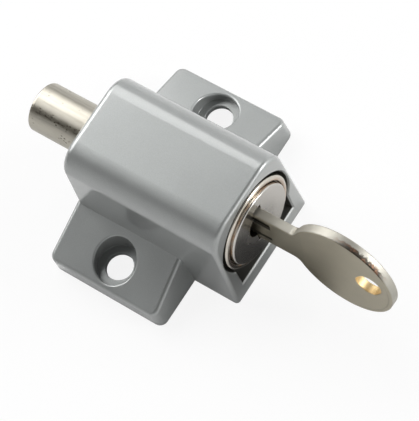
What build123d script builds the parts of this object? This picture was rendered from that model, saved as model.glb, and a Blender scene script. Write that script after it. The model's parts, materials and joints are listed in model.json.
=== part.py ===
"""Push-to-lock patio door lock: a die-cast housing screwed to the sliding leaf, and a
sprung carriage inside it whose bolt goes into the fixed leaf.

Millimetres. +X is the way the bolt throws, +Z points away from the door leaf, and the
origin is midway between the two fixing holes, on the mounting face. The model stands as
it does when locked, with the key in and turned KEY_ANGLE past upright.
"""
from build123d import *
from math import atan2, cos, pi, radians, sin, sqrt, tan
import os

# Housing body
FRONT_REACH = 25.2          # fixing holes to the key end of the housing
BACK_REACH = 14.2           # fixing holes to the bolt end, at the mounting face
SIDE_WALL = 1.0             # beside the bore, at the height of the lock's axis
CROWN_WALL = 1.8            # above the bore
FLOOR_THICKNESS = 4.0
SIDE_DRAFT = 2.75           # degrees
BACK_DRAFT = 3.3            # degrees
TOP_CORNER_RADIUS = 5.8
RIM_FLAT = 0.1              # flat left beside the bore by the key end's rounded edge
BACK_EDGE_RADIUS = 1.4
OPENING_CHAMFER = 0.35
BACK_WALL = 4.0             # at the height of the lock's axis

# Fixing ears
EAR_FRONT = 14.3            # fixing holes to the ears' key end
EAR_ROOT_HEIGHT = 9.4       # where the ear's top meets the body's side
EAR_EDGE_HEIGHT = 4.9       # at the ear's outer edge
EAR_FRONT_DRAFT = 8.5       # degrees
EAR_CORNER_RADIUS = 1.8
EAR_EDGE_RADIUS = 0.9
HOLE_SPACING = 37.8
SCREW_HOLE_DIAMETER = 6.1
SCREW_HEAD_DIAMETER = 9.5
EAR_RIM = 1.35              # from the head's recess to the ear's end
SCREW_SEAT_HEIGHT = 3.5
SCREW_WEB = 1.3             # metal under the screw's head
RECESS_RIM_RADIUS = 0.35    # rounding round the head's recess
EAR_WALL = 1.9              # round the hollow under each ear

# Carriage: barrel, foot and bolt
BARREL_DIAMETER = 22.2
NECK_STEP = 0.8             # the neck's surface below the barrel's
NECK_LENGTH = 3.0
FOOT_WIDTH = 18.6
FOOT_DROP = 1.2             # of the foot's sole below the barrel
RUNNING_GAP = 0.1           # barrel and foot to housing, on every side
TRAVEL = 14.0
BOLT_DIAMETER = 10.9
BOLT_RISE = 0.85            # of the bolt's axis above the lock's axis
BOLT_PROJECTION = 15.2      # past the housing's bolt end, at the lock's axis
BOLT_NOSE_RADIUS = 0.5
BOLT_GAP = 0.1              # bolt to its hole in the back wall, all round
SPIGOT_DIAMETER = 8.0
BOLT_PIN_DIAMETER = 2.0
BOLT_PIN_INSET = 0.7        # pin's ends below the barrel's surface
FIT_GAP = 0.02              # all round a piece that is driven in

# Face of the barrel
RING_STEP = 0.6             # the ring's outside below the barrel's surface
RING_WALL = 1.3
RING_PROUD = 0.2            # past the housing's key end
RING_DEPTH = 1.45
RING_EDGE_RADIUS = 0.55     # of both its front edges
DISC_PROUD = 0.83
DISC_EDGE_RADIUS = 0.35
RING_GAP = 0.2              # disc to ring, all round
FACE_GAP = 0.1              # disc to the barrel's face

# Plug
KEY_ANGLE = 8.2            # degrees past upright in the photographed state
PLUG_DIAMETER = 13.0
PLUG_GAP = 0.05             # plug to barrel, all round
PLUG_END = 0.9              # behind the clip's groove
WAFER_LEAD = 2.2            # plug's front to the first wafer
WAFER_PITCH = 2.2
WAFER_THICKNESS = 1.1
WAFER_WIDTH = 5.8
WAFER_INSET = 0.1           # of its corners below the plug's surface
WAFER_GAP = 0.05            # each side of a wafer in its slot
WAFER_LUG = 1.4             # the spring's ledge, beside the wafer
WAFER_LUG_HEIGHT = 1.2
GROOVE_DEPTH = 1.25         # wafer grooves in the barrel's bore
SPRING_WIRE = 0.2
SPRING_LENGTH = 3.0
SPRING_TURNS = 5
CLIP_THICKNESS = 0.6
CLIP_DEPTH = 1.05           # of its groove in the plug
CLIP_STAND = 0.9            # out of the groove
CLIP_MOUTH = 8.0
CLIP_GAP = 0.05

# Tail cam that lifts the catch
CAM_THICKNESS = 1.0
CAM_RIM = 0.4               # round the pin
CAM_PIN_DIAMETER = 2.0
CAM_PIN_LENGTH = 1.55
CAM_PIN_RADIUS = 4.2        # its distance from the lock's axis
CAM_PIN_LAG = 9.3           # degrees before its lowest point, with the key upright
LIP_GAP = 0.15              # pin to the leaf's lip beside it
TAIL_SQUARE = 3.6
CAVITY_GAP = 0.6            # round the clip

# Catch leaf, of spring steel
LEAF_THICKNESS = 0.5
LEAF_WIDTH = 4.0
LEAF_SIDE_GAP = 0.4
LEAF_RECESS = 2.9           # depth of its recess in the foot
LEAF_SLOPE = 4.4            # length of the leaf from pad to nib
NIB_LENGTH = 1.2
NIB_DEPTH = 1.75            # how far it reaches into the floor's pocket
NIB_STANDOFF = 3.6          # nib to the riser behind it
POCKET_GAP = 0.3
RIVET_DIAMETER = 1.6
RIVET_HEAD_DIAMETER = 2.8
RIVET_MARGIN = 0.1          # of the leaf's pad, round the head
RIVET_HEAD = 0.6
RIVET_GRIP = 1.1            # into the barrel

# Stop screw, whose end runs in a slot of the foot
STOP_DIAMETER = 3.0
STOP_HEAD_DIAMETER = 5.6
STOP_HEAD_SINK = 0.2
STOP_OFFSET = 6.0           # to one side of the lock's axis
STOP_REACH = 2.6            # above the floor
STOP_GAP = 0.3
STOP_SIDE_GAP = 0.15
SLOT_WALL = 1.2             # foot left at each end of the slot
DRIVER_SLOT = 0.7

# Return spring
RETURN_SPACE = 8.5          # barrel to back wall when locked
RETURN_WIRE = 0.9
RETURN_DIAMETER = 17.3
RETURN_TURNS = 5.5
RETURN_SEAT_GAP = 0.05

# Key
KEY_THICKNESS = 2.1
BLADE_TOP = 5.35            # above the lock's axis
BLADE_BOTTOM = -3.55
BLADE_SHOWING = 8.7         # disc to bow
BLADE_TIP_GAP = 0.25
KEYWAY_GAP = 0.1
CUT_DEPTHS = (0.5, 1.0, 1.0, 1.5, 1.5)
CUT_RAMP = 0.25             # half of each slope between two cuts
CUT_GAP = 0.04
TIP_DEPTH = 3.6
FULLERS = ((2.2, 4.35), (-2.05, -0.95))    # limits of the two grooves in each flat
FULLER_DEPTH = 0.6
FULLER_SHOWING = 3.5
KEYHOLE_OVER = 0.8          # above the blade
KEYHOLE_UNDER = 1.1         # below the blade
KEYHOLE_GAP = 0.2           # each side of the blade
KEYHOLE_EYE = 6.6
EYE_DEPTH = 1.3             # of the eye in the plug
BOW_LENGTH = 23.0
BOW_HEIGHT = 24.3
BOW_TILT = -17.0            # degrees
BOW_RISE = 0.9              # of its centre above the lock's axis
NECK_RADIUS_TOP = 1.8
NECK_RADIUS_BOTTOM = 2.0
BOW_EDGE = 0.25
RING_HOLE_LENGTH = 6.4
RING_HOLE_HEIGHT = 5.2
RING_HOLE_INSET = 5.4       # its centre from the bow's end
RING_HOLE_RISE = 1.4
RING_HOLE_TILT = -56.0      # degrees

# Sizes across the axis that follow from these
FOOT_BOTTOM_Z = FLOOR_THICKNESS + RUNNING_GAP
AXIS_HEIGHT = FOOT_BOTTOM_Z + FOOT_DROP + BARREL_DIAMETER / 2
BORE_RADIUS = BARREL_DIAMETER / 2 + RUNNING_GAP
BODY_HEIGHT = AXIS_HEIGHT + BORE_RADIUS + CROWN_WALL
BODY_WIDTH = 2 * (BORE_RADIUS + SIDE_WALL + AXIS_HEIGHT * tan(radians(SIDE_DRAFT)))
RIM_RADIUS = SIDE_WALL - RIM_FLAT
EAR_SPAN = HOLE_SPACING + SCREW_HEAD_DIAMETER + 2 * EAR_RIM
RECESS_ROOF_Z = FOOT_BOTTOM_Z + LEAF_RECESS
NECK_DIAMETER = BARREL_DIAMETER - 2 * NECK_STEP
RING_DIAMETER = BARREL_DIAMETER - 2 * RING_STEP
DISC_DIAMETER = RING_DIAMETER - 2 * (RING_WALL + RING_GAP)
CAVITY_DIAMETER = PLUG_DIAMETER + 2 * (CLIP_STAND + CAVITY_GAP)
CAM_PIN_SIDE = CAM_PIN_RADIUS * sin(radians(KEY_ANGLE - CAM_PIN_LAG))
CAM_PIN_DROP = CAM_PIN_RADIUS * cos(radians(KEY_ANGLE - CAM_PIN_LAG))

# Counts and lengths that follow
WAFER_COUNT = len(CUT_DEPTHS)
LEAF_PAD_LENGTH = RIVET_HEAD_DIAMETER + 2 * RIVET_MARGIN

# Places along the axis that follow
FRONT_X = -FRONT_REACH
BACK_X = BACK_REACH - AXIS_HEIGHT * tan(radians(BACK_DRAFT))
INNER_BACK_X = BACK_X - BACK_WALL
BARREL_FRONT_X = FRONT_X - RING_PROUD + RING_DEPTH
BARREL_BACK_X = INNER_BACK_X - RETURN_SPACE
DISC_FRONT_X = FRONT_X - DISC_PROUD
DISC_BACK_X = BARREL_FRONT_X - FACE_GAP
LAST_WAFER_X = DISC_BACK_X + WAFER_LEAD + (WAFER_COUNT - 1) * WAFER_PITCH
KEYWAY_END_X = LAST_WAFER_X + WAFER_THICKNESS / 2 + 0.35
KEY_TIP_X = KEYWAY_END_X - BLADE_TIP_GAP
CLIP_X = KEYWAY_END_X + 1.0
PLUG_BACK_X = CLIP_X + CLIP_THICKNESS + 2 * CLIP_GAP + PLUG_END
CAM_BACK_X = PLUG_BACK_X + CAM_THICKNESS
CAM_PIN_END_X = CAM_BACK_X + CAM_PIN_LENGTH
RISER_X = CAM_PIN_END_X + 0.2 + LEAF_THICKNESS / 2
CAVITY_BACK_X = RISER_X + LEAF_THICKNESS / 2 + 0.3
NIB_X = RISER_X - NIB_STANDOFF
LEAF_FRONT_X = NIB_X - NIB_LENGTH / 2 - LEAF_SLOPE - LEAF_PAD_LENGTH
SLOT_LENGTH = STOP_DIAMETER + TRAVEL + 2 * STOP_GAP
SLOT_FRONT_X = BARREL_BACK_X - SLOT_WALL - SLOT_LENGTH
FOOT_FRONT_X = min(SLOT_FRONT_X, LEAF_FRONT_X - LEAF_SIDE_GAP) - SLOT_WALL
STOP_X = SLOT_FRONT_X + STOP_GAP + STOP_DIAMETER / 2
BOLT_TIP_X = BACK_X + BOLT_PROJECTION
SHOULDER_X = DISC_FRONT_X - BLADE_SHOWING


def rod(start, end, diameter, y=0.0, z=0.0):
    """Cylinder along X, about the lock's axis unless y and z say otherwise."""
    blank = Cylinder(diameter / 2, end - start, rotation=(0, 90, 0))
    return Pos((start + end) / 2, y, AXIS_HEIGHT + z) * blank


def block(x, y, z):
    """Box between pairs of limits."""
    size = [pair[1] - pair[0] for pair in (x, y, z)]
    middle = [(pair[0] + pair[1]) / 2 for pair in (x, y, z)]
    return Pos(*middle) * Box(*size)


def turned(shape, angle=KEY_ANGLE):
    """Bring a piece modelled upright about the X axis to its place on the lock's axis."""
    return Pos(0, 0, AXIS_HEIGHT) * Rot(angle, 0, 0) * shape


def coil(coil_diameter, wire, length, turns):
    """Compression spring along +Z whose outside fits the diameter and length given.

    The wire's centre line is a helix, drawn as two arcs that share a tangent for each
    quarter turn.
    """
    radius = (coil_diameter - wire) / 2
    rise = length - wire
    steps = int(round(turns * 4))
    slope = rise / (2 * pi * turns)

    def place(step):
        angle = 2 * pi * turns * step / steps
        point = Vector(radius * cos(angle), radius * sin(angle), wire / 2 + slope * angle)
        way = Vector(-radius * sin(angle), radius * cos(angle), slope)
        return point, way.normalized()

    arcs = []
    for step in range(steps):
        start, start_way = place(step)
        end, end_way = place(step + 1)
        span = end - start
        total = start_way + end_way
        along = span.dot(total)
        bend = 2 * (1 - start_way.dot(end_way))
        reach = (sqrt(along * along + bend * span.dot(span)) - along) / bend
        joint = (start + end + (start_way - end_way) * reach) * 0.5
        joint_way = (joint - start) * (1 / reach) - start_way
        arcs.append(TangentArc(start, joint, tangent=start_way))
        arcs.append(TangentArc(joint, end, tangent=joint_way.normalized()))
    first, way = place(0)
    section = Plane(origin=first, z_dir=way) * Circle(wire / 2)
    return sweep(section, path=Wire(arcs))


def body_blank():
    """The housing's outside without its ears, drafted at the sides and the bolt end."""
    lean = BODY_HEIGHT * tan(radians(SIDE_DRAFT))
    half = BODY_WIDTH / 2
    outline = Polygon(
        (-half, 0), (half, 0), (half - lean, BODY_HEIGHT), (lean - half, BODY_HEIGHT),
        align=None,
    )
    outline = fillet(outline.vertices().sort_by(Axis.Y)[-2:], TOP_CORNER_RADIUS)
    section = Plane(origin=(FRONT_X, 0, 0), x_dir=(0, 1, 0), z_dir=(1, 0, 0)) * outline
    blank = trim_back(extrude(section, FRONT_REACH + BACK_REACH))
    front = [e for e in blank.edges() if e.bounding_box().max.X < FRONT_X + 0.01]
    front = [e for e in front if e.center().Z > 0.01]
    blank = fillet(front, RIM_RADIUS)
    back = blank.faces().sort_by(Axis.X)[-1].edges()
    return fillet([e for e in back if e.center().Z > 0.01], BACK_EDGE_RADIUS)


def trim_back(shape):
    """Cut a shape off along the housing's leaning bolt end."""
    lean = radians(BACK_DRAFT)
    end = Plane(origin=(BACK_REACH, 0, 0), z_dir=(cos(lean), 0, sin(lean)))
    return split(shape, bisect_by=end, keep=Keep.BOTTOM)


def ear():
    """One fixing ear, on the +Y side: sloping top, screw hole and hollow underside."""
    root = BODY_WIDTH / 2 - EAR_ROOT_HEIGHT * tan(radians(SIDE_DRAFT))
    slope = (EAR_ROOT_HEIGHT - EAR_EDGE_HEIGHT) / (EAR_SPAN / 2 - root)
    inside = root - 2.0
    outline = Polygon(
        (inside, 0), (EAR_SPAN / 2, 0), (EAR_SPAN / 2, EAR_EDGE_HEIGHT),
        (inside, EAR_ROOT_HEIGHT + 2.0 * slope),
        align=None,
    )
    section = Plane(origin=(-EAR_FRONT, 0, 0), x_dir=(0, 1, 0), z_dir=(1, 0, 0)) * outline
    blank = trim_back(extrude(section, EAR_FRONT + BACK_REACH))
    lean = radians(EAR_FRONT_DRAFT)
    front = Plane(origin=(-EAR_FRONT, 0, 0), z_dir=(-cos(lean), 0, sin(lean)))
    blank = split(blank, bisect_by=front, keep=Keep.BOTTOM)
    corners = [e for e in blank.edges() if e.center().Y > EAR_SPAN / 2 - 0.01]
    corners = [e for e in corners if e.bounding_box().size.Z > EAR_EDGE_HEIGHT / 2]
    blank = fillet(corners, EAR_CORNER_RADIUS)
    rim = blank.faces().sort_by(Axis.Z)[-1].edges()
    blank = fillet([e for e in rim if e.center().Y > inside + 0.01], EAR_EDGE_RADIUS)
    low = (Align.CENTER, Align.CENTER, Align.MIN)
    blank -= block(
        (EAR_WALL - EAR_FRONT, BACK_REACH - EAR_WALL),
        (BODY_WIDTH / 2 + EAR_WALL, EAR_SPAN / 2 - EAR_WALL),
        (0, SCREW_SEAT_HEIGHT - SCREW_WEB),
    )
    hole = Cylinder(SCREW_HOLE_DIAMETER / 2, EAR_ROOT_HEIGHT, align=low)
    recess = Pos(0, 0, SCREW_SEAT_HEIGHT)
    recess *= Cylinder(SCREW_HEAD_DIAMETER / 2, EAR_ROOT_HEIGHT, align=low)
    blank -= Pos(0, HOLE_SPACING / 2, 0) * (hole + recess)
    walls = blank.faces().filter_by(GeomType.CYLINDER)
    wall = min(walls, key=lambda f: abs(f.radius - SCREW_HEAD_DIAMETER / 2))
    return fillet(wall.edges().sort_by(Axis.Z)[-1:], RECESS_RIM_RADIUS)


def stop_screw_shape(gap=0.0):
    """The countersunk stop screw, or with a gap the hole that it sits in."""
    shank_radius = STOP_DIAMETER / 2 + gap
    head_radius = STOP_HEAD_DIAMETER / 2 + gap
    head_height = head_radius - shank_radius
    base = 0.0 if gap else STOP_HEAD_SINK
    top = FLOOR_THICKNESS + STOP_REACH
    head = Cone(
        head_radius, shank_radius, head_height, align=(Align.CENTER, Align.CENTER, Align.MIN)
    )
    shank = Cylinder(shank_radius, top - base, align=(Align.CENTER, Align.CENTER, Align.MIN))
    shape = Pos(0, 0, base) * (shank + Pos(0, 0, STOP_HEAD_SINK if gap else 0.0) * head)
    if gap:
        mouth = Cylinder(
            head_radius, STOP_HEAD_SINK, align=(Align.CENTER, Align.CENTER, Align.MIN)
        )
        shape = shape + mouth
    return Pos(STOP_X, STOP_OFFSET, 0) * shape


def housing():
    """Die-cast housing: body, two ears, bore with a flat channel, catch pocket."""
    near_ear = ear()
    shape = body_blank() + near_ear + mirror(near_ear, about=Plane.XZ)
    bore = rod(FRONT_X, INNER_BACK_X, 2 * BORE_RADIUS)
    half = FOOT_WIDTH / 2 + RUNNING_GAP
    channel = block((FRONT_X, INNER_BACK_X), (-half, half), (FLOOR_THICKNESS, AXIS_HEIGHT))
    opening = bore + channel
    shape = shape - opening
    lip = [e for e in shape.faces().filter_by(Axis.X).sort_by(Axis.X)[0].inner_wires()[0].edges()]
    shape = chamfer(lip, OPENING_CHAMFER)
    shape -= rod(INNER_BACK_X - 1, BACK_REACH + 1, BOLT_DIAMETER + 2 * BOLT_GAP, z=BOLT_RISE)
    pocket_half = LEAF_WIDTH / 2 + POCKET_GAP
    shape -= block(
        (NIB_X - NIB_LENGTH / 2 - POCKET_GAP, NIB_X + NIB_LENGTH / 2 + 2 * POCKET_GAP),
        (-pocket_half, pocket_half), (-1, FLOOR_THICKNESS + 1),
    )
    return shape - stop_screw_shape(gap=FIT_GAP)


def stop_screw():
    """Screw that keeps the carriage in the housing."""
    screw = stop_screw_shape()
    cut = Box(DRIVER_SLOT, 2 * STOP_HEAD_DIAMETER, DRIVER_SLOT)
    return screw - Pos(STOP_X, STOP_OFFSET, STOP_HEAD_SINK) * cut


def barrel():
    """Plated barrel with its foot, bored for the plug, the cam and the bolt."""
    shape = rod(BARREL_FRONT_X, BARREL_FRONT_X + NECK_LENGTH, NECK_DIAMETER)
    shape += rod(BARREL_FRONT_X + NECK_LENGTH, BARREL_BACK_X, BARREL_DIAMETER)
    half = FOOT_WIDTH / 2
    shape += block((FOOT_FRONT_X, BARREL_BACK_X), (-half, half), (FOOT_BOTTOM_Z, AXIS_HEIGHT))
    shape -= rod(BARREL_FRONT_X - 1, CLIP_X, PLUG_DIAMETER + 2 * PLUG_GAP)
    shape -= rod(CLIP_X, CAVITY_BACK_X, CAVITY_DIAMETER)
    shape -= rod(
        CAVITY_BACK_X - 1, BARREL_BACK_X + 1, SPIGOT_DIAMETER + 2 * FIT_GAP, z=BOLT_RISE
    )
    shape -= wafer_grooves()
    shape -= bolt_pin_shape(BARREL_DIAMETER, BOLT_PIN_DIAMETER + 2 * FIT_GAP)
    shape -= leaf_recess()
    slot_half = STOP_DIAMETER / 2 + STOP_SIDE_GAP
    return shape - block(
        (SLOT_FRONT_X, SLOT_FRONT_X + SLOT_LENGTH),
        (STOP_OFFSET - slot_half, STOP_OFFSET + slot_half),
        (FOOT_BOTTOM_Z - 1, FLOOR_THICKNESS + STOP_REACH + STOP_GAP),
    )


def wafer_grooves():
    """Grooves above and below the plug, where the wafers drop once the key is out."""
    half = WAFER_WIDTH / 2 + 2 * WAFER_GAP
    reach = PLUG_DIAMETER / 2 + GROOVE_DEPTH
    start = DISC_BACK_X + WAFER_LEAD - WAFER_THICKNESS
    end = LAST_WAFER_X + WAFER_THICKNESS
    return block((start, end), (-half, half), (AXIS_HEIGHT - reach, AXIS_HEIGHT + reach))


def leaf_recess():
    """Recess in the foot for the catch leaf, with its rivet hole and way up to the cam."""
    half = LEAF_WIDTH / 2 + LEAF_SIDE_GAP
    recess = block(
        (LEAF_FRONT_X - LEAF_SIDE_GAP, CAVITY_BACK_X), (-half, half),
        (FOOT_BOTTOM_Z - 1, RECESS_ROOF_Z),
    )
    window = block(
        (RISER_X - LEAF_THICKNESS - 0.5, CAVITY_BACK_X), (-half, half),
        (RECESS_ROOF_Z - 1, AXIS_HEIGHT - CAVITY_DIAMETER / 4),
    )
    return recess + window + rivet_shank(RIVET_DIAMETER + 2 * FIT_GAP)


def rivet_shank(diameter):
    """Shank of the leaf's rivet, from under the leaf up into the barrel."""
    bottom = RECESS_ROOF_Z - LEAF_THICKNESS
    shank = Cylinder(
        diameter / 2, LEAF_THICKNESS + RIVET_GRIP, align=(Align.CENTER, Align.CENTER, Align.MIN)
    )
    return Pos(LEAF_FRONT_X + LEAF_PAD_LENGTH / 2, 0, bottom) * shank


def leaf_rivet():
    """Rivet that holds the catch leaf against the recess's roof."""
    head = Cylinder(
        RIVET_HEAD_DIAMETER / 2, RIVET_HEAD, align=(Align.CENTER, Align.CENTER, Align.MAX)
    )
    bottom = RECESS_ROOF_Z - LEAF_THICKNESS
    return rivet_shank(RIVET_DIAMETER) + Pos(LEAF_FRONT_X + LEAF_PAD_LENGTH / 2, 0, bottom) * head


def catch_leaf():
    """Spring-steel strip whose nib drops into the floor's pocket and holds the carriage.

    Its end stands up behind the tail cam, with a lip over the path of the cam's pin.
    """
    pad_z = RECESS_ROOF_Z - LEAF_THICKNESS / 2
    low_z = FOOT_BOTTOM_Z + LEAF_THICKNESS + 0.2
    nib_z = FLOOR_THICKNESS - NIB_DEPTH + LEAF_THICKNESS / 2
    lip_z = AXIS_HEIGHT - CAM_PIN_RADIUS + CAM_PIN_DIAMETER / 2 + 0.2 + LEAF_THICKNESS / 2
    slope_start = LEAF_FRONT_X + LEAF_PAD_LENGTH
    nib_half = (NIB_LENGTH - LEAF_THICKNESS) / 2
    route = [
        (LEAF_FRONT_X, pad_z), (slope_start, pad_z), (NIB_X - nib_half, low_z),
        (NIB_X - nib_half, nib_z), (NIB_X + nib_half, nib_z), (NIB_X + nib_half, low_z),
        (RISER_X, low_z), (RISER_X, lip_z),
    ]
    strip = bent_strip(route, LEAF_WIDTH)
    reach = CAM_PIN_RADIUS + CAM_PIN_DIAMETER / 2
    arm = block(
        (RISER_X - LEAF_THICKNESS / 2, RISER_X + LEAF_THICKNESS / 2),
        (0, reach), (lip_z - 3 * LEAF_THICKNESS, lip_z + LEAF_THICKNESS / 2),
    )
    lip = block(
        (CAM_BACK_X + 0.3, RISER_X + LEAF_THICKNESS / 2),
        (CAM_PIN_SIDE + CAM_PIN_DIAMETER / 2 + LIP_GAP, reach),
        (lip_z - LEAF_THICKNESS / 2, lip_z + LEAF_THICKNESS / 2),
    )
    return strip + arm + lip - rivet_shank(RIVET_DIAMETER + 2 * FIT_GAP)


def bent_strip(route, width):
    """Strip of LEAF_THICKNESS that follows points of the XZ plane, centred on Y."""
    half = LEAF_THICKNESS / 2
    legs = []
    for (x0, z0), (x1, z1) in zip(route, route[1:]):
        length = sqrt((x1 - x0) ** 2 + (z1 - z0) ** 2)
        lean = atan2(z1 - z0, x1 - x0) * 180 / pi
        leg = Box(length, width, LEAF_THICKNESS)
        legs.append(Pos((x0 + x1) / 2, 0, (z0 + z1) / 2) * Rot(0, -lean, 0) * leg)
    for x, z in route[1:-1]:
        legs.append(Pos(x, 0, z) * Cylinder(half, width, rotation=(90, 0, 0)))
    return legs[0].fuse(*legs[1:])


def bolt():
    """Nickel-plated bolt with a rounded nose and a spigot that goes into the barrel."""
    shank = rod(BARREL_BACK_X, BOLT_TIP_X, BOLT_DIAMETER, z=BOLT_RISE)
    shank = fillet(shank.edges().sort_by(Axis.X)[-1:], BOLT_NOSE_RADIUS)
    spigot = rod(CAVITY_BACK_X, BARREL_BACK_X, SPIGOT_DIAMETER, z=BOLT_RISE)
    hole = bolt_pin_shape(BOLT_DIAMETER, BOLT_PIN_DIAMETER + 2 * FIT_GAP)
    return shank + spigot - hole


def bolt_pin_shape(length, diameter):
    """A pin across the lock, midway along the bolt's spigot."""
    middle = (CAVITY_BACK_X + BARREL_BACK_X) / 2
    pin = Cylinder(diameter / 2, length, rotation=(90, 0, 0))
    return Pos(middle, 0, AXIS_HEIGHT + BOLT_RISE) * pin


def bolt_pin():
    """Pin driven across the barrel to hold the bolt's spigot."""
    return bolt_pin_shape(BARREL_DIAMETER - 2 * BOLT_PIN_INSET, BOLT_PIN_DIAMETER)


def bezel_ring():
    """Bright ring pressed round the disc on the barrel's face."""
    start = FRONT_X - RING_PROUD
    ring = rod(start, BARREL_FRONT_X, RING_DIAMETER)
    ring -= rod(start - 1, BARREL_FRONT_X + 1, DISC_DIAMETER + 2 * RING_GAP)
    front = [e for e in ring.edges() if e.bounding_box().max.X < start + 0.01]
    return fillet(front, RING_EDGE_RADIUS)


def plug_disc():
    """Disc on the plug's face, with the keyhole."""
    disc = rod(DISC_FRONT_X, DISC_BACK_X, DISC_DIAMETER)
    disc = fillet(disc.edges().sort_by(Axis.X)[:1], DISC_EDGE_RADIUS)
    ends = (DISC_FRONT_X - 1, DISC_BACK_X + 1)
    half = KEY_THICKNESS / 2 + KEYHOLE_GAP
    height = (BLADE_BOTTOM - KEYHOLE_UNDER, BLADE_TOP + KEYHOLE_OVER)
    return disc - turned(block(ends, (-half, half), height)) - keyhole_eye(*ends)


def keyhole_eye(start, end):
    """Half-round notch in one side of the keyhole, midway up the blade."""
    radius = KEYHOLE_EYE / 2
    blank = Cylinder(radius, end - start, rotation=(0, 90, 0))
    blank &= Pos(0, radius, 0) * Box(end - start, 2 * radius, 2 * radius)
    return turned(Pos((start + end) / 2, 0, (BLADE_TOP + BLADE_BOTTOM) / 2) * blank)


def plug():
    """Plug with its keyway, wafer slots, clip groove and square tail."""
    shape = rod(DISC_BACK_X, PLUG_BACK_X, PLUG_DIAMETER)
    groove_end = CLIP_X + CLIP_THICKNESS + 2 * CLIP_GAP
    core = PLUG_DIAMETER - 2 * CLIP_DEPTH
    shape -= rod(CLIP_X, groove_end, PLUG_DIAMETER + 1) - rod(CLIP_X, groove_end, core)
    half = KEY_THICKNESS / 2 + KEYWAY_GAP
    keyway = block(
        (DISC_BACK_X - 1, KEYWAY_END_X), (-half, half),
        (BLADE_BOTTOM - KEYWAY_GAP, BLADE_TOP + KEYWAY_GAP),
    )
    shape -= turned(keyway)
    shape -= keyhole_eye(DISC_BACK_X - 1, DISC_BACK_X + EYE_DEPTH)
    for number in range(WAFER_COUNT):
        shape -= turned(wafer_slot(number))
    tail = TAIL_SQUARE / 2
    return shape + turned(block((PLUG_BACK_X, CAM_BACK_X + 0.15), (-tail, tail), (-tail, tail)))


def wafer_x(number):
    """Middle of a wafer, counted from the key end."""
    return DISC_BACK_X + WAFER_LEAD + number * WAFER_PITCH


def wafer_slot(number):
    """Slot through the plug for one wafer, with its spring's pocket."""
    x = wafer_x(number)
    thick = WAFER_THICKNESS / 2 + WAFER_GAP
    half = WAFER_WIDTH / 2 + WAFER_GAP
    slot = block((x - thick, x + thick), (-half, half), (-PLUG_DIAMETER, PLUG_DIAMETER))
    pocket = block(
        (x - thick, x + thick), (half - 1, half + WAFER_LUG),
        (-WAFER_LUG_HEIGHT - 0.9, SPRING_LENGTH + 2 * WAFER_GAP),
    )
    return slot + pocket


def wafer(number):
    """One brass wafer: its window's top edge rests on the key's cut."""
    x = wafer_x(number)
    thick = WAFER_THICKNESS / 2
    half = WAFER_WIDTH / 2
    ends = (x - thick, x + thick)
    rise = sqrt((PLUG_DIAMETER / 2 - WAFER_INSET) ** 2 - half ** 2)
    plate = block(ends, (-half, half), (-rise, rise))
    plate += block(ends, (half - 1, half + WAFER_LUG - WAFER_GAP), (-WAFER_LUG_HEIGHT, 0))
    window_half = KEY_THICKNESS / 2 + 2 * KEYWAY_GAP
    window = block(
        (x - 1, x + 1), (-window_half, window_half),
        (BLADE_BOTTOM - 2 * KEYWAY_GAP, BLADE_TOP - CUT_DEPTHS[number] + CUT_GAP),
    )
    return turned(plate - window)


def wafer_spring(number):
    """Coil that presses one wafer's lug towards the key."""
    spring = coil(WAFER_THICKNESS, SPRING_WIRE, SPRING_LENGTH, SPRING_TURNS)
    side = WAFER_WIDTH / 2 + WAFER_GAP + WAFER_LUG / 2
    return turned(Pos(wafer_x(number), side, WAFER_GAP) * spring)


def plug_clip():
    """Open ring in the plug's groove, behind the barrel's shoulder."""
    start = CLIP_X + CLIP_GAP
    end = start + CLIP_THICKNESS
    bore = PLUG_DIAMETER - 2 * CLIP_DEPTH + 2 * CLIP_GAP
    outside = PLUG_DIAMETER + 2 * CLIP_STAND - 2 * CLIP_GAP
    ring = rod(start, end, outside) - rod(start - 1, end + 1, bore)
    mouth = block((start - 1, end + 1), (0, outside), (-CLIP_MOUTH / 2, CLIP_MOUTH / 2))
    return ring - turned(mouth)


def tail_cam():
    """Plate on the plug's square tail, with the pin that lifts the catch leaf."""
    reach = CAM_PIN_RADIUS + CAM_PIN_DIAMETER / 2 + CAM_RIM
    plate = rod(PLUG_BACK_X, CAM_BACK_X, 2 * reach)
    half = TAIL_SQUARE / 2 + FIT_GAP
    plate -= turned(block((PLUG_BACK_X - 1, CAM_BACK_X + 1), (-half, half), (-half, half)))
    pin = rod(
        CAM_BACK_X, CAM_PIN_END_X, CAM_PIN_DIAMETER, y=CAM_PIN_SIDE, z=-CAM_PIN_DROP
    )
    return plate + pin


def return_spring():
    """Spring round the bolt, between the barrel and the back wall."""
    length = RETURN_SPACE - 2 * RETURN_SEAT_GAP
    spring = coil(RETURN_DIAMETER, RETURN_WIRE, length, RETURN_TURNS)
    pitch = (length - RETURN_WIRE) / RETURN_TURNS
    print(f"return spring: {pitch - RETURN_WIRE:.2f} mm between turns")
    start = Pos(BARREL_BACK_X + RETURN_SEAT_GAP, 0, AXIS_HEIGHT + BOLT_RISE)
    return start * Rot(0, 90, 0) * spring


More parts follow.
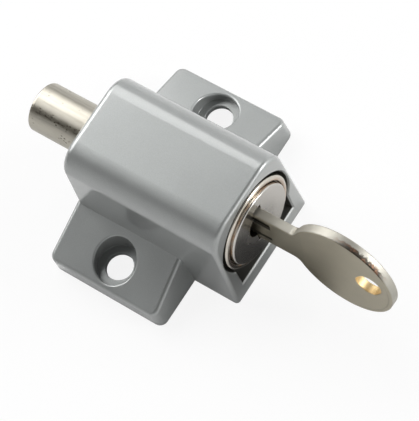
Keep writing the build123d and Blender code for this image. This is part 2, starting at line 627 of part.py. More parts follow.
def key_outline():
    """The key's side view, with X along the lock and Y for height, tip at +X."""
    height = BLADE_TOP - BLADE_BOTTOM
    bow_x = SHOULDER_X - BOW_LENGTH / 2
    blade_length = KEY_TIP_X - bow_x
    middle = (BLADE_TOP + BLADE_BOTTOM) / 2
    blade = Pos((KEY_TIP_X + bow_x) / 2, middle) * Rectangle(blade_length, height)
    bow = Pos(bow_x, BOW_RISE) * Rot(0, 0, BOW_TILT) * Ellipse(BOW_LENGTH / 2, BOW_HEIGHT / 2)
    outline = blade + bow
    necks = [v for v in outline.vertices() if bow_x + 1 < v.X < KEY_TIP_X - 1]
    for neck in sorted(necks, key=lambda v: v.Y):
        radius = NECK_RADIUS_TOP if neck.Y > 0 else NECK_RADIUS_BOTTOM
        near = min(outline.vertices(), key=lambda v: (v.X - neck.X) ** 2 + (v.Y - neck.Y) ** 2)
        outline = fillet(near, radius)
    return outline


def bitting():
    """What is cut away above the blade: a step for each wafer, falling to the tip."""
    step = WAFER_PITCH / 2
    start = wafer_x(0) - WAFER_LEAD / 2
    points = [(start, BLADE_TOP + 1), (start, BLADE_TOP)]
    flat = step - CUT_RAMP
    for number, depth in enumerate(CUT_DEPTHS):
        points.append((wafer_x(number) - flat, BLADE_TOP - depth))
        points.append((wafer_x(number) + flat, BLADE_TOP - depth))
    points[-1] = (LAST_WAFER_X + WAFER_THICKNESS / 2, BLADE_TOP - CUT_DEPTHS[-1])
    points.append((KEY_TIP_X + 0.01, BLADE_TOP - TIP_DEPTH))
    points.append((KEY_TIP_X + 1, BLADE_TOP - TIP_DEPTH))
    points.append((KEY_TIP_X + 1, BLADE_TOP + 1))
    return Polygon(*points, align=None)


def key():
    """Flat key with a stepped blade, two grooves in each flat and a round bow."""
    outline = key_outline()
    hole_x = SHOULDER_X - BOW_LENGTH + RING_HOLE_INSET
    hole = SlotOverall(RING_HOLE_LENGTH, RING_HOLE_HEIGHT, rotation=RING_HOLE_TILT)
    outline -= Pos(hole_x, RING_HOLE_RISE) * hole
    outline -= bitting()
    shape = extrude(Plane.XZ * outline, KEY_THICKNESS / 2, both=True)
    edges = [e for e in shape.edges() if e.bounding_box().size.Y < 0.01]
    edges = [e for e in edges if e.center().X < SHOULDER_X - 1.5]
    shape = fillet(edges, BOW_EDGE)
    for side in (-1, 1):
        depth = sorted((side * (KEY_THICKNESS / 2 - FULLER_DEPTH), side * KEY_THICKNESS))
        run = (DISC_FRONT_X - FULLER_SHOWING, KEY_TIP_X + 1)
        for limits in FULLERS:
            shape -= block(run, depth, limits)
    return turned(shape)


def parts():
    """Every node of the lock by name."""
    nodes = {
        "housing": housing(),
        "stop_screw": stop_screw(),
        "return_spring": return_spring(),
        "barrel": barrel(),
        "bezel_ring": bezel_ring(),
        "bolt": bolt(),
        "bolt_pin": bolt_pin(),
        "catch_leaf": catch_leaf(),
        "leaf_rivet": leaf_rivet(),
        "plug": plug(),
        "plug_disc": plug_disc(),
        "plug_clip": plug_clip(),
        "tail_cam": tail_cam(),
        "key": key(),
    }
    for number in range(WAFER_COUNT):
        nodes[f"wafer_{number + 1}"] = wafer(number)
        nodes[f"wafer_spring_{number + 1}"] = wafer_spring(number)
    return nodes


os.makedirs("parts", exist_ok=True)
for name, shape in parts().items():
    export_step(shape, f"parts/{name}.step")
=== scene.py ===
"""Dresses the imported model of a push-to-lock patio door lock, and sets its studio.

Metres throughout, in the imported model's frame: +X is the way the bolt throws, +Z points
away from the door leaf, and the origin is midway between the fixing holes.
"""
import json
import math

import bpy
from bpy.props import FloatProperty, FloatVectorProperty, PointerProperty
from bpy.types import Operator, Panel, PropertyGroup
from mathutils import Matrix, Vector


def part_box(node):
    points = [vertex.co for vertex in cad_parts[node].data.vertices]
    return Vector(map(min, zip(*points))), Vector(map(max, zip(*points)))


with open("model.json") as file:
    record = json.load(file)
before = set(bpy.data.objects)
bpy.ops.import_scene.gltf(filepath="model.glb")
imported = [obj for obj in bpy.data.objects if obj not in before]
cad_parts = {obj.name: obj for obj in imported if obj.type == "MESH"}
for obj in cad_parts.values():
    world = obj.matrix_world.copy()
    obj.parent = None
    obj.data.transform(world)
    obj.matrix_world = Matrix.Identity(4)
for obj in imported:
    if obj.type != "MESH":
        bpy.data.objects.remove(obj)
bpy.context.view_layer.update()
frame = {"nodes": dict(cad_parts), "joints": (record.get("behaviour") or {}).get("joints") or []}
NODES = frame["nodes"]

bl_info = {
    "name": "Patio Door Lock",
    "version": (1, 0, 0),
    "blender": (4, 5, 0),
    "location": "View3D > Sidebar > Door Lock",
    "description": "Finishes and studio for a push-to-lock patio door lock",
    "category": "Add Mesh",
}

MM = 0.001

# The photograph's camera, as fitted to the housing's edges and circles
VIEW_AZIMUTH = 151.13
VIEW_ELEVATION = 63.995
VIEW_ROLL = -29.867
VIEW_DISTANCE = 447.324 * MM
VIEW_SHIFT = (6.534 * MM, -1.968 * MM)
VIEW_ORIGIN = Vector((-1.2 * MM, 0, 0))
FOCAL_PIXELS = 2136.37
IMAGE_LONG_SIDE = 421
SENSOR = 36.0

# The soft boxes: where each stands and how wide it is, in metres
SOFT_BOXES = {
    "main": ((0.68, -0.53, 0.75), 0.8),
    "side": ((0.9, 0.0, 0.68), 0.8),
    "low": ((-0.8, -0.5, 0.35), 0.35),
}
LAMP_AIM = Vector((0, 0, 0.01))

# Places that the finishes follow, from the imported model
LOCK_AXIS = Vector((0, 0, sum(corner.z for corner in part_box("bezel_ring")) / 2))
BORE_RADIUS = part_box("barrel")[1].y + 0.1 * MM
CHANNEL_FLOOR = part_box("barrel")[0].z - 0.1 * MM
CHANNEL_HALF = 9.4 * MM
EAR_START = (12 * MM, 14 * MM)
BASE_DARKENING_HEIGHT = 1.2 * MM
SPRING_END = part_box("return_spring")[1].x
FACE_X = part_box("plug_disc")[0].x
RING_INSIDE, RING_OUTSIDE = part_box("plug_disc")[1].y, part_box("bezel_ring")[1].y
BOLT_AXIS = sum(corner.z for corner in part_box("bolt")) / 2
BOLT_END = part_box("bolt")[1].x
STAIN_ANGLE = math.radians(60.0)
KEY_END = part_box("key")[0].x
KEY_TURN = math.radians(
    -next(j for j in frame["joints"] if j["name"] == "key_turn")["range_deg"][0]
)

# The key's bow and the hole in it, measured in the key's own plane
BOW_LENGTH = 23.0 * MM
BOW_HEIGHT = 24.3 * MM
BOW_TILT = math.radians(-17.0)
BOW_RISE = 0.9 * MM
HOLE_INSET = 5.4 * MM
HOLE_RISE = 1.4 * MM
HOLE_REACH = 3.3 * MM

# Wear on the key: the line coined inside its rim, as shares of the bow's half size, and the patch
# along the bow's upper edge where the plate is rubbed off. Each pair is where it starts or ends.
LINE_START, LINE_END = (0.90, 0.92), (0.925, 0.945)
PATCH_START = (KEY_END + 1 * MM, KEY_END + 3 * MM)
PATCH_END = (KEY_END + 8 * MM, KEY_END + 14 * MM)
PATCH_RIM = (0.965, 0.98)
PATCH_RISE = (1 * MM, 5 * MM)

# The milled part of the blade and the grooves in it
MILLED_FROM = FACE_X - 11.2 * MM
GROOVE_FLOOR = (0.5 * MM, 0.6 * MM)
GROOVES_BOTTOM = (-2.1 * MM, -2.0 * MM)
GROOVES_TOP = (4.3 * MM, 4.4 * MM)

# Painted shadow: a patch of the floor that is black to a mirror, where the disc would show bright
# floor
PAINTED_SHADOW_PLACE = (FACE_X - 5 * MM, 4 * MM, 0)
PAINTED_SHADOW_FADE = (4 * MM, 13 * MM)

ZINC = (0.58, 0.60, 0.62)

# Dirt, tarnish and painted shade
# Dark inside the bore: bare casting with dirt, and painted shade
BORE_DIRT_AND_SHADE = (0.03, 0.03, 0.027, 1.0)
# Dark deep in the keyway: oil, and painted shade
KEYWAY_GRIME_AND_SHADE = (0.012, 0.011, 0.009, 1.0)
# Painted shade on the floors of the key's grooves
GROOVE_SHADE = (0.03, 0.024, 0.015, 1.0)
BOLT_STAIN = (0.11, 0.095, 0.065, 1.0)
BOLT_PITS = (0.05, 0.042, 0.03, 1.0)
TARNISH_DARK = (0.02, 0.014, 0.009, 1.0)
TARNISH_BROWN = (0.16, 0.075, 0.04, 1.0)


class Field:
    """A value or colour that varies over a surface. Arithmetic on it adds Math nodes."""

    def __init__(self, nodes, socket):
        self.nodes = nodes
        self.socket = socket

    def _math(self, operation, first, second):
        return self.nodes.add("Math", {"operation": operation}, {0: first, 1: second})

    def __add__(self, other):
        return self._math("ADD", self, other)

    def __radd__(self, other):
        return self._math("ADD", other, self)

    def __sub__(self, other):
        return self._math("SUBTRACT", self, other)

    def __rsub__(self, other):
        return self._math("SUBTRACT", other, self)

    def __mul__(self, other):
        return self._math("MULTIPLY", self, other)

    def __rmul__(self, other):
        return self._math("MULTIPLY", other, self)

    def __abs__(self):
        return self._math("ABSOLUTE", self, 0.0)

    def most(self, other):
        return self._math("MAXIMUM", self, other)


class Nodes:
    """A node tree that is built one node at a time."""

    def __init__(self, tree):
        self.tree = tree

    def add(self, kind, settings=None, inputs=None, output=0):
        """Add one node: its type, its settings, then the values or links of its sockets."""
        node = self.tree.nodes.new("ShaderNode" + kind)
        for name, value in (settings or {}).items():
            setattr(node, name, value)
        for socket, value in (inputs or {}).items():
            if isinstance(value, Field):
                self.tree.links.new(value.socket, node.inputs[socket])
            else:
                node.inputs[socket].default_value = value
        return Field(self, node.outputs[output])

    def close(self, field, node, socket):
        """Link a field to a socket of a node that is already there."""
        self.tree.links.new(field.socket, self.tree.nodes[node].inputs[socket])

    def step(self, field, low, high):
        """0 below low, 1 above high and smooth between."""
        return self.add(
            "MapRange", {"interpolation_type": "SMOOTHSTEP"}, {0: field, 1: low, 2: high}
        )

    def axis(self, spot, number):
        """One coordinate of a place."""
        return self.add("SeparateXYZ", None, {0: spot}, output=number)


class Finish(Nodes):
    """One material."""

    def __init__(self, name, **constants):
        self.material = bpy.data.materials.new(name)
        self.material.use_nodes = True
        super().__init__(self.material.node_tree)
        self.shader = self.tree.nodes["Principled BSDF"]
        for socket, value in constants.items():
            self.shader.inputs[socket.replace("_", " ").title()].default_value = value

    def feed(self, socket, field):
        """Link a field to one of the shader's sockets."""
        self.tree.links.new(field.socket, self.shader.inputs[socket])

    def place(self, scale=(1, 1, 1), turn=(0, 0, 0), centre=(0, 0, 0)):
        """Object coordinates about a centre, turned and then stretched."""
        spot = self.add("TexCoord", output=3)
        spot = self.add("VectorMath", {"operation": "SUBTRACT"}, {0: spot, 1: centre})
        if any(turn):
            spot = self.add("VectorRotate", {"rotation_type": "EULER_XYZ"}, {0: spot, 4: turn})
        return self.add("VectorMath", {"operation": "MULTIPLY"}, {0: spot, 1: scale})

    def length(self, spot):
        """Distance of a place from its centre."""
        return self.add("VectorMath", {"operation": "LENGTH"}, {0: spot}, output=1)

    def radius(self):
        """Distance from the lock's axis."""
        return self.length(self.place(scale=(0, 1, 1), centre=LOCK_AXIS))

    def soft_edges(self, radius):
        """Normals as if every sharp edge had a small rounding."""
        return self.add("Bevel", {"samples": 6}, {"Radius": radius})

    def noise(self, spot, scale, detail=2.0, roughness=0.5):
        """Soft noise from 0 to 1."""
        return self.add(
            "TexNoise", None,
            {"Vector": spot, "Scale": scale, "Detail": detail, "Roughness": roughness},
        )

    def tint(self, mask, first, second):
        """First colour where the mask is 0 and second where it is 1."""
        return self.add(
            "Mix", {"data_type": "RGBA"}, {0: mask, 6: first, 7: second}, output=2
        )

    def relief(self, height, depth, strength=1.0, after=None):
        """A Bump node's normal for a height from 0 to 1 that is depth metres deep."""
        inputs = {"Height": height, "Distance": depth, "Strength": strength}
        if after:
            inputs["Normal"] = after
        return self.add("Bump", None, inputs)


def shade(colour, factor):
    """A colour made lighter or darker, with full alpha."""
    return (*(min(1.0, channel * factor) for channel in colour[:3]), 1.0)


def lacquer(looks):
    """Gloss metallic lacquer over a slightly uneven casting, bare inside the bore, where it is
    dark with dirt and painted shade.
    """
    finish = Finish(
        "silver_lacquer", metallic=looks.lacquer_metal, coat_roughness=looks.coat_roughness
    )
    spot = finish.place()
    flake = finish.noise(spot, 9000.0, 0.0)
    cloud = finish.noise(spot, 110.0, 3.0)
    side = abs(finish.axis(spot, 1))
    height = finish.axis(spot, 2)
    # Darker along the bottom of the ears
    base = 1.0 - finish.step(height, 0.0, BASE_DARKENING_HEIGHT)
    base *= finish.step(side, *EAR_START)
    bore = 1.0 - finish.step(finish.radius(), BORE_RADIUS + 0.02 * MM, BORE_RADIUS + 0.1 * MM)
    channel = finish.step(height, CHANNEL_FLOOR - 0.1 * MM, CHANNEL_FLOOR)
    channel *= 1.0 - finish.step(height, LOCK_AXIS.z - 0.1 * MM, LOCK_AXIS.z)
    channel *= 1.0 - finish.step(side, CHANNEL_HALF, CHANNEL_HALF + 0.1 * MM)
    inside = 1.0 - finish.step(finish.axis(spot, 0), SPRING_END, SPRING_END + 0.5 * MM)
    bare = bore.most(channel) * inside
    tone = finish.step(flake * 0.55 + cloud * 0.45, 0.3, 0.7)
    colour = finish.tint(tone, shade(looks.lacquer, 0.94), shade(looks.lacquer, 1.05))
    colour = finish.tint(base * cloud * 0.5, colour, shade(looks.lacquer, 0.6))
    # Bare casting inside the bore, painted dark with dirt and shade
    colour = finish.tint(bare, colour, finish.tint(cloud, BORE_DIRT_AND_SHADE, looks.casting))
    finish.feed("Base Color", colour)
    finish.feed("Roughness", looks.lacquer_roughness + cloud * 0.08 + bare * 0.2)
    finish.feed("Coat Weight", 1.0 - bare)
    peel = finish.noise(spot, 650.0, 1.0)
    grain = finish.noise(spot, 2600.0, 3.0) * bare
    soft = finish.soft_edges(0.3 * MM)
    peel = finish.relief(peel, 0.02 * MM, 0.35, after=soft)
    finish.feed("Normal", finish.relief(grain, 0.1 * MM, 0.6, after=peel))
    return finish.material


def drawn_nickel(looks):
    """Nickel plate on a drawn bar, stained and pitted along one side."""
    finish = Finish("bolt_nickel", metallic=1.0)
    spot = finish.place(centre=(BOLT_END, 0, BOLT_AXIS))
    grain = finish.noise(finish.place(scale=(0.03, 1, 1)), 5200.0, 3.0)
    streak = finish.noise(finish.place(scale=(0.05, 1, 1)), 900.0, 3.0)
    cloud = finish.noise(spot, 260.0, 3.0)
    across = finish.add("VectorRotate", {"rotation_type": "EULER_XYZ"}, {
        0: spot, 4: (-STAIN_ANGLE, 0, 0),
    })
    stain = 1.0 - finish.step(abs(finish.axis(across, 2)) + cloud * MM, 0.7 * MM, 1.7 * MM)
    stain *= finish.step(finish.axis(across, 1), 0.0, 1 * MM)
    pit = finish.add(
        "TexVoronoi", None, {"Vector": finish.place(scale=(0.6, 1, 1)), "Scale": 1500.0}
    )
    patch = finish.step(finish.noise(spot, 330.0, 1.0) + stain * 0.34, 0.56, 0.68)
    pits = (1.0 - finish.step(pit, 0.12, 0.34)) * patch
    blotch = finish.noise(finish.place(scale=(0.5, 1, 1)), 1500.0, 5.0, 0.7)
    blotch = finish.step(blotch + stain * 0.1, 0.58, 0.76) * stain
    colour = finish.tint(cloud, shade(looks.nickel, 0.88), shade(looks.nickel, 1.05))
    colour = finish.tint(finish.step(streak, 0.5, 0.7) * 0.35, colour, shade(looks.nickel, 0.45))
    colour = finish.tint(stain * 0.55, colour, BOLT_STAIN)
    colour = finish.tint(pits.most(blotch) * 0.85, colour, BOLT_PITS)
    finish.feed("Base Color", colour)
    finish.feed("Roughness", looks.bolt_roughness + grain * 0.1 + pits * 0.3)
    drag = finish.relief(grain, 0.004 * MM, 0.5, after=finish.soft_edges(0.15 * MM))
    finish.feed("Normal", finish.relief(1.0 - pits, 0.03 * MM, 0.8, after=drag))
    return finish.material


def plate(name, colour, roughness, wear):
    """Plated or polished metal: fine cloudiness, a little wear and micro scratches."""
    finish = Finish(name, metallic=1.0)
    spot = finish.place()
    cloud = finish.noise(spot, 420.0, 3.0)
    scratch = finish.noise(finish.place(scale=(0.08, 1, 0.5), turn=(0.4, 0.3, 0.9)), 6000.0, 2.0)
    dull = finish.step(cloud, 0.45, 0.75) * wear
    finish.feed("Base Color", finish.tint(dull, shade(colour, 1.04), shade(colour, 0.8)))
    finish.feed("Roughness", roughness + dull * 0.15 + scratch * 0.05)
    soft = finish.soft_edges(0.1 * MM)
    finish.feed("Normal", finish.relief(scratch, 0.002 * MM, 0.35, after=soft))
    return finish.material


def spun_disc(looks):
    """Bright disc whose face was finished on a lathe, darker round the keyhole from wear and a
    painted dark reflection.
    """
    finish = Finish("disc_nickel", metallic=1.0)
    radius = finish.radius()
    cloud = finish.noise(finish.place(), 300.0, 3.0)
    rings = finish.noise(finish.add("CombineXYZ", None, {0: radius}), 9000.0, 2.0)
    # Wear from the key, and painted dark reflection: base colour darkened round the keyhole
    worn_and_dark_reflection = (1.0 - finish.step(radius, 2.5 * MM, 6.5 * MM)) * cloud
    colour = finish.tint(rings, shade(looks.disc, 0.93), shade(looks.disc, 1.05))
    finish.feed("Base Color", finish.tint(worn_and_dark_reflection, colour, shade(looks.disc, 0.5)))
    finish.feed("Roughness", looks.disc_roughness + worn_and_dark_reflection * 0.15 + cloud * 0.05)
    soft = finish.soft_edges(0.12 * MM)
    finish.feed("Normal", finish.relief(rings, 0.004 * MM, 0.5, after=soft))
    return finish.material


def bead_nickel(looks):
    """Bright ring whose plate has worn to copper towards the disc."""
    finish = Finish("ring_nickel", metallic=1.0)
    radius = finish.radius()
    cloud = finish.noise(finish.place(), 380.0, 3.0)
    middle = (RING_INSIDE + RING_OUTSIDE) / 2
    inner = 1.0 - finish.step(radius, RING_INSIDE + 0.4 * MM, middle + 0.55 * MM)
    worn = finish.step(cloud, 0.34, 0.58) * inner
    colour = finish.tint(cloud, shade(looks.ring, 0.85), shade(looks.ring, 1.1))
    finish.feed("Base Color", finish.tint(worn * 0.8, colour, looks.copper))
    finish.feed("Roughness", 0.17 + cloud * 0.1)
    finish.feed("Normal", finish.relief(cloud, 0.01 * MM, 0.4))
    return finish.material


def keyed_brass(looks):
    """Brass of the plug, dark where the key goes in, with oil and painted shade deep in the
    keyway.
    """
    finish = Finish("brass", metallic=1.0)
    spot = finish.place()
    cloud = finish.noise(spot, 420.0, 3.0)
    # Painted shade and oil: dark deep in the keyway
    deep = finish.step(finish.axis(spot, 0), FACE_X + 4 * MM, FACE_X + 9 * MM)
    colour = finish.tint(cloud, shade(looks.brass, 0.8), shade(looks.brass, 1.05))
    finish.feed("Base Color", finish.tint(deep, KEYWAY_GRIME_AND_SHADE, colour))
    finish.feed("Roughness", 0.55 - deep * 0.25 + cloud * 0.05)
    finish.feed("Metallic", 0.3 + deep * 0.7)
    return finish.material


def worn_key(looks):
    """Nickel-plated brass: dull flats, bright edges, and brass where the plate has gone."""
    finish = Finish("key_nickel", metallic=1.0)
    flat_turn = (-KEY_TURN, 0, 0)
    spot = finish.place(turn=flat_turn, centre=LOCK_AXIS)
    bow = Vector((KEY_END + BOW_LENGTH / 2, 0, BOW_RISE))
    facing = finish.add("VectorRotate", {"rotation_type": "EULER_XYZ"}, {
        0: finish.add("TexCoord", output=1), 4: flat_turn,
    })
    edge = 1.0 - finish.step(abs(finish.axis(facing, 1)), 0.55, 0.9)
    cloud = finish.noise(spot, 300.0, 3.0)
    fine = finish.noise(finish.place(scale=(0.06, 1, 0.4), turn=(0.6, 0.2, 0.8)), 5200.0, 2.0)
    hole = finish.add("VectorMath", {"operation": "SUBTRACT"}, {
        0: spot, 1: (KEY_END + HOLE_INSET, 0, HOLE_RISE),
    })
    hole = 1.0 - finish.step(finish.length(hole), HOLE_REACH, HOLE_REACH + 0.3 * MM)
    oval = finish.add("VectorMath", {"operation": "SUBTRACT"}, {0: spot, 1: bow})
    oval = finish.add(
        "VectorRotate", {"rotation_type": "EULER_XYZ"}, {0: oval, 4: (0, BOW_TILT, 0)}
    )
    oval = finish.add("VectorMath", {"operation": "MULTIPLY"}, {
        0: oval, 1: (2 / BOW_LENGTH, 0, 2 / BOW_HEIGHT),
    })
    rim = finish.length(oval)
    along, across, up = (finish.axis(spot, number) for number in range(3))
    line = finish.step(rim, *LINE_START) * (1.0 - finish.step(rim, *LINE_END))
    line *= (1.0 - finish.step(along, bow.x - 4 * MM, bow.x)) * (1.0 - finish.step(up, 0, 6 * MM))
    rubbed = finish.step(along, *PATCH_START) * (1.0 - finish.step(along, *PATCH_END))
    chips = finish.noise(spot, 1300.0, 3.0)
    rubbed *= finish.step(across + (chips - 0.5) * 1.6 * MM, -0.1 * MM, 0.35 * MM)
    rubbed *= finish.step(rim, *PATCH_RIM) * finish.step(up, *PATCH_RISE)
    # Painted shade on the floors of the blade's grooves
    groove_shade = 1.0 - finish.step(abs(across), *GROOVE_FLOOR)
    groove_shade *= finish.step(up, *GROOVES_BOTTOM) * (1.0 - finish.step(up, *GROOVES_TOP))
    groove_shade *= finish.step(along, MILLED_FROM, MILLED_FROM + 0.5 * MM)
    milled = finish.step(along, MILLED_FROM - 0.1 * MM, MILLED_FROM + 0.3 * MM)
    worn = finish.step(cloud * 0.5 + chips * 0.5, 0.45, 0.58)
    worn = finish.tint(worn, TARNISH_DARK, TARNISH_BROWN)
    colour = finish.tint(cloud, shade(looks.key, 0.9), shade(looks.key, 1.08))
    colour = finish.tint(milled * 0.15, colour, shade(looks.key, 0.5))
    colour = finish.tint(edge, colour, looks.key_edge)
    colour = finish.tint(groove_shade * 0.8, colour, GROOVE_SHADE)
    colour = finish.tint(rubbed * 0.9, colour, worn)
    colour = finish.tint(line * 0.4, colour, shade(looks.key, 0.5))
    finish.feed("Base Color", finish.tint(hole * edge * 0.8, colour, looks.brass))
    finish.feed("Roughness", 0.33 + edge * 0.17 + cloud * 0.06)
    soft = finish.relief(fine, 0.003 * MM, 0.35, after=finish.soft_edges(0.15 * MM))
    finish.feed("Normal", finish.relief(1.0 - line, 0.05 * MM, 0.6, after=soft))
    return finish.material


def dress(node, material):
    """Give a CAD node its finish."""
    slots = NODES[node].material_slots
    for slot in slots:
        slot.material = material


class LOCK_PG_looks(PropertyGroup):
    """Colours and gloss of the lock's finishes."""

    lacquer: FloatVectorProperty(
        name="Lacquer", description="Colour of the housing's lacquer",
        subtype="COLOR", size=3, min=0, max=1, default=(0.292, 0.303, 0.298),
    )
    lacquer_metal: FloatProperty(
        name="Lacquer metal", description="How metallic the lacquer looks",
        subtype="FACTOR", min=0, max=1, default=0.55,
    )
    lacquer_roughness: FloatProperty(
        name="Lacquer roughness", description="Roughness of the lacquer under its clear coat",
        subtype="FACTOR", min=0, max=1, default=0.36,
    )
    coat_roughness: FloatProperty(
        name="Coat roughness", description="Roughness of the lacquer's clear coat",
        subtype="FACTOR", min=0, max=1, default=0.11,
    )
    # Dark colour of the bare casting in the bore, which also carries painted shade
    casting: FloatVectorProperty(
        name="Casting", description="Colour of the bare casting inside the bore",
        subtype="COLOR", size=4, min=0, max=1, default=(0.10, 0.10, 0.09, 1),
    )
    bolt_roughness: FloatProperty(
        name="Bolt roughness", description="Roughness of the bolt's plate",
        subtype="FACTOR", min=0, max=1, default=0.33,
    )
    disc_roughness: FloatProperty(
        name="Disc roughness", description="Roughness of the plug's face disc",
        subtype="FACTOR", min=0, max=1, default=0.2,
    )
    copper: FloatVectorProperty(
        name="Copper", description="Colour under the ring's worn plate",
        subtype="COLOR", size=4, min=0, max=1, default=(0.50, 0.31, 0.19, 1),
    )
    nickel: FloatVectorProperty(
        name="Nickel", description="Colour of the bolt's nickel plate",
        subtype="COLOR", size=3, min=0, max=1, default=(0.47, 0.445, 0.385),
    )
    ring: FloatVectorProperty(
        name="Ring", description="Colour of the bezel ring",
        subtype="COLOR", size=3, min=0, max=1, default=(0.60, 0.562, 0.50),
    )
    disc: FloatVectorProperty(
        name="Disc", description="Colour of the plug's face disc",
        subtype="COLOR", size=3, min=0, max=1, default=(0.52, 0.50, 0.47),
    )
    key: FloatVectorProperty(
        name="Key", description="Colour of the key",
        subtype="COLOR", size=3, min=0, max=1, default=(0.40, 0.365, 0.28),
    )
    key_edge: FloatVectorProperty(
        name="Key edge", description="Colour of the key's polished edges",
        subtype="COLOR", size=4, min=0, max=1, default=(0.40, 0.385, 0.34, 1),
    )
    brass: FloatVectorProperty(
        name="Brass", description="Colour of the brass pieces and under the key's plate",
        subtype="COLOR", size=4, min=0, max=1, default=(0.70, 0.52, 0.25, 1),
    )
    steel: FloatVectorProperty(
        name="Steel", description="Colour of the springs, pins and clip",
        subtype="COLOR", size=3, min=0, max=1, default=(0.40, 0.41, 0.43),
    )


class LOCK_PG_studio(PropertyGroup):
    """The floor and the light."""

    floor: FloatProperty(
        name="Floor", description="Width of the floor",
        subtype="DISTANCE", unit="LENGTH", min=0.1, default=6.0,
    )
    white_share: FloatProperty(
        name="White share", description="How white the floor is to the camera",
        subtype="FACTOR", min=0, max=1, default=0.88,
    )
    mirrored_share: FloatProperty(
        name="Mirrored share", description="How white the floor is in the metal",
        subtype="FACTOR", min=0, max=1, default=0.04,
    )
    main_power: FloatProperty(
        name="Main box", description="Power of the soft box above the bolt",
        unit="POWER", min=0, default=6.7,
    )
    side_power: FloatProperty(
        name="Side box", description="Power of the soft box in line with the bolt",
        unit="POWER", min=0, default=10.0,
    )
    low_power: FloatProperty(
        name="Low box", description="Power of the low soft box beyond the key",
        unit="POWER", min=0, default=8.0,
    )
    room: FloatProperty(
        name="Room", description="Strength of the light from the walls",
        min=0, default=1.3,
    )
    ceiling: FloatProperty(
        name="Ceiling", description="Strength of the ceiling's light as a share of the walls'",
        subtype="FACTOR", min=0, max=1, default=0.05,
    )


class LOCK_OT_housing(Operator):
    """Finish the die-cast housing"""

    bl_idname = "lock.housing"
    bl_label = "Housing"

    def execute(self, context):
        dress("housing", lacquer(context.scene.lock_looks))
        return {"FINISHED"}


class LOCK_OT_bolt(Operator):
    """Finish the bolt"""

    bl_idname = "lock.bolt"
    bl_label = "Bolt"

    def execute(self, context):
        dress("bolt", drawn_nickel(context.scene.lock_looks))
        return {"FINISHED"}


class LOCK_OT_face(Operator):
    """Finish the barrel, its ring, the disc with the keyhole and the plug"""

    bl_idname = "lock.face"
    bl_label = "Cylinder face"

    def execute(self, context):
        looks = context.scene.lock_looks
        dress("barrel", plate("nickel_plate", looks.nickel, 0.3, 0.6))
        dress("bezel_ring", bead_nickel(looks))
        dress("plug_disc", spun_disc(looks))
        dress("plug", keyed_brass(looks))
        return {"FINISHED"}


class LOCK_OT_key(Operator):
    """Finish the key"""

    bl_idname = "lock.key"
    bl_label = "Key"

    def execute(self, context):
        dress("key", worn_key(context.scene.lock_looks))
        return {"FINISHED"}


class LOCK_OT_works(Operator):
    """Finish the pieces inside the lock"""

    bl_idname = "lock.works"
    bl_label = "Works"

    def execute(self, context):
        looks = context.scene.lock_looks
        steel = plate("spring_steel", looks.steel, 0.32, 0.5)
        brass = plate("wafer_brass", looks.brass, 0.28, 0.6)
        zinc = plate("zinc_plate", ZINC, 0.35, 0.4)
        for node in NODES:
            if node.startswith("wafer_spring"):
                dress(node, steel)
            elif node.startswith("wafer"):
                dress(node, brass)
        for node in ("return_spring", "bolt_pin", "catch_leaf", "plug_clip"):
            dress(node, steel)
        dress("leaf_rivet", brass)
        for node in ("stop_screw", "tail_cam"):
            dress(node, zinc)
        return {"FINISHED"}


def view_axes():
    """The camera's right, up and backward directions."""
    azimuth, elevation, roll = map(math.radians, (VIEW_AZIMUTH, VIEW_ELEVATION, VIEW_ROLL))
    back = Vector((
        math.cos(elevation) * math.cos(azimuth),
        math.cos(elevation) * math.sin(azimuth),
        math.sin(elevation),
    ))
    level = (-back).cross(Vector((0, 0, 1))).normalized()
    upright = level.cross(-back)
    right = math.cos(roll) * level + math.sin(roll) * upright
    up = math.cos(roll) * upright - math.sin(roll) * level
    return right, up, back


def add_camera():
    """The camera where the photograph was taken from."""
    right, up, back = view_axes()
    place = right * VIEW_SHIFT[0] + up * VIEW_SHIFT[1] + back * VIEW_DISTANCE + VIEW_ORIGIN
    bpy.ops.object.camera_add(location=place)
    camera = bpy.context.object
    camera.name = "photo_camera"
    camera.rotation_euler = Matrix((right, up, back)).transposed().to_euler()
    camera.data.sensor_width = SENSOR
    camera.data.lens = FOCAL_PIXELS * SENSOR / IMAGE_LONG_SIDE
    camera.data.clip_start = 0.01
    bpy.context.scene.camera = camera


def add_soft_box(name, place, width, power):
    """A square soft box that faces the lock."""
    bpy.ops.object.light_add(type="AREA", location=place)
    lamp = bpy.context.object
    lamp.name = name
    lamp.data.shape = "SQUARE"
    lamp.data.size = width
    lamp.data.energy = power
    aim = LAMP_AIM - lamp.location
    lamp.rotation_euler = aim.to_track_quat("-Z", "Y").to_euler()


def add_floor(studio):
    """Pale floor that keeps the lock's shadow, with a dark patch of painted shadow for the disc
    to mirror.
    """
    bpy.ops.mesh.primitive_plane_add(size=studio.floor)
    floor = bpy.context.object
    floor.name = "studio_floor"
    finish = Finish("pale_floor", base_color=(0.8, 0.8, 0.8, 1), roughness=0.9)
    seen = finish.add("LightPath")
    mirrored = finish.add("LightPath", output=3)
    white = finish.add("Emission", None, {"Color": (1, 1, 1, 1), "Strength": 1.0})
    paper = Field(finish, finish.shader.outputs[0])
    share = seen * studio.white_share + mirrored * studio.mirrored_share
    # Painted shadow: black floor near the face, seen only by mirror rays
    painted_shadow = finish.length(finish.place(centre=PAINTED_SHADOW_PLACE))
    painted_shadow = mirrored * (1.0 - finish.step(painted_shadow, *PAINTED_SHADOW_FADE))
    black = finish.add("Emission", None, {"Color": (0, 0, 0, 1)})
    paper = finish.add("MixShader", None, {0: painted_shadow, 1: paper, 2: black})
    mixed = finish.add("MixShader", None, {0: share, 1: paper, 2: white})
    finish.close(mixed, "Material Output", "Surface")
    floor.data.materials.append(finish.material)


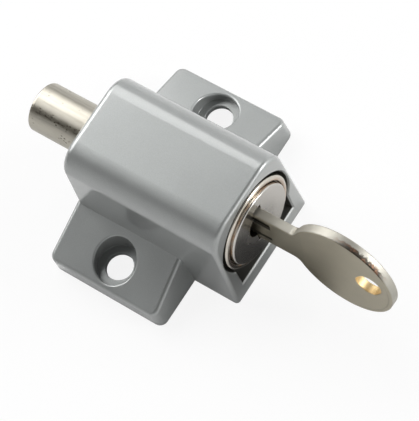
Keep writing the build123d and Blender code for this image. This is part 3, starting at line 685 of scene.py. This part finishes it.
def light_room(studio):
    """White for the camera. For the lock, a room that is bright low down and away from +X."""
    world = bpy.data.worlds.new("studio_room")
    bpy.context.scene.world = world
    world.use_nodes = True
    room = Nodes(world.node_tree)
    way = room.add("TexCoord")
    low = 1.0 - room.step(room.axis(way, 2), 0.1, 0.8)
    near = 1.0 - room.step(room.axis(way, 0), 0.1, 0.8)
    level = (low * near * (1.0 - studio.ceiling) + studio.ceiling) * studio.room
    grey = room.add("Background", None, {"Color": (1, 1, 1, 1), "Strength": level})
    white = room.add("Background", None, {"Color": (1, 1, 1, 1), "Strength": 1.0})
    seen = room.add("LightPath")
    mixed = room.add("MixShader", None, {0: seen, 1: grey, 2: white})
    room.close(mixed, "World Output", "Surface")


class LOCK_OT_stage(Operator):
    """Set the floor, the light and the camera"""

    bl_idname = "lock.stage"
    bl_label = "Stage"

    def execute(self, context):
        studio = context.scene.lock_studio
        add_camera()
        add_floor(studio)
        light_room(studio)
        for name, (place, width) in SOFT_BOXES.items():
            add_soft_box(name + "_box", place, width, getattr(studio, name + "_power"))
        context.scene.view_settings.view_transform = "Standard"
        return {"FINISHED"}


STEPS = (LOCK_OT_housing, LOCK_OT_bolt, LOCK_OT_face, LOCK_OT_key, LOCK_OT_works, LOCK_OT_stage)


class LOCK_PT_panel(Panel):
    """Lists the lock's pieces and its stage"""

    bl_idname = "LOCK_PT_panel"
    bl_label = "Patio Door Lock"
    bl_space_type = "VIEW_3D"
    bl_region_type = "UI"
    bl_category = "Door Lock"

    def draw(self, context):
        for step in STEPS:
            self.layout.operator(step.bl_idname)
        for group in (context.scene.lock_looks, context.scene.lock_studio):
            for name in group.bl_rna.properties.keys():
                if name not in {"rna_type", "name"}:
                    self.layout.prop(group, name)


CLASSES = (LOCK_PG_looks, LOCK_PG_studio, *STEPS, LOCK_PT_panel)


def register():
    """Register the add-on's classes and its settings on the scene."""
    for item in CLASSES:
        bpy.utils.register_class(item)
    bpy.types.Scene.lock_looks = PointerProperty(type=LOCK_PG_looks)
    bpy.types.Scene.lock_studio = PointerProperty(type=LOCK_PG_studio)


def unregister():
    """Undo register."""
    del bpy.types.Scene.lock_studio
    del bpy.types.Scene.lock_looks
    for item in reversed(CLASSES):
        bpy.utils.unregister_class(item)


def main():
    """Run every step in order."""
    register()
    bpy.ops.lock.housing()
    bpy.ops.lock.bolt()
    bpy.ops.lock.face()
    bpy.ops.lock.key()
    bpy.ops.lock.works()
    bpy.ops.lock.stage()


if __name__ == "__main__":
    main()
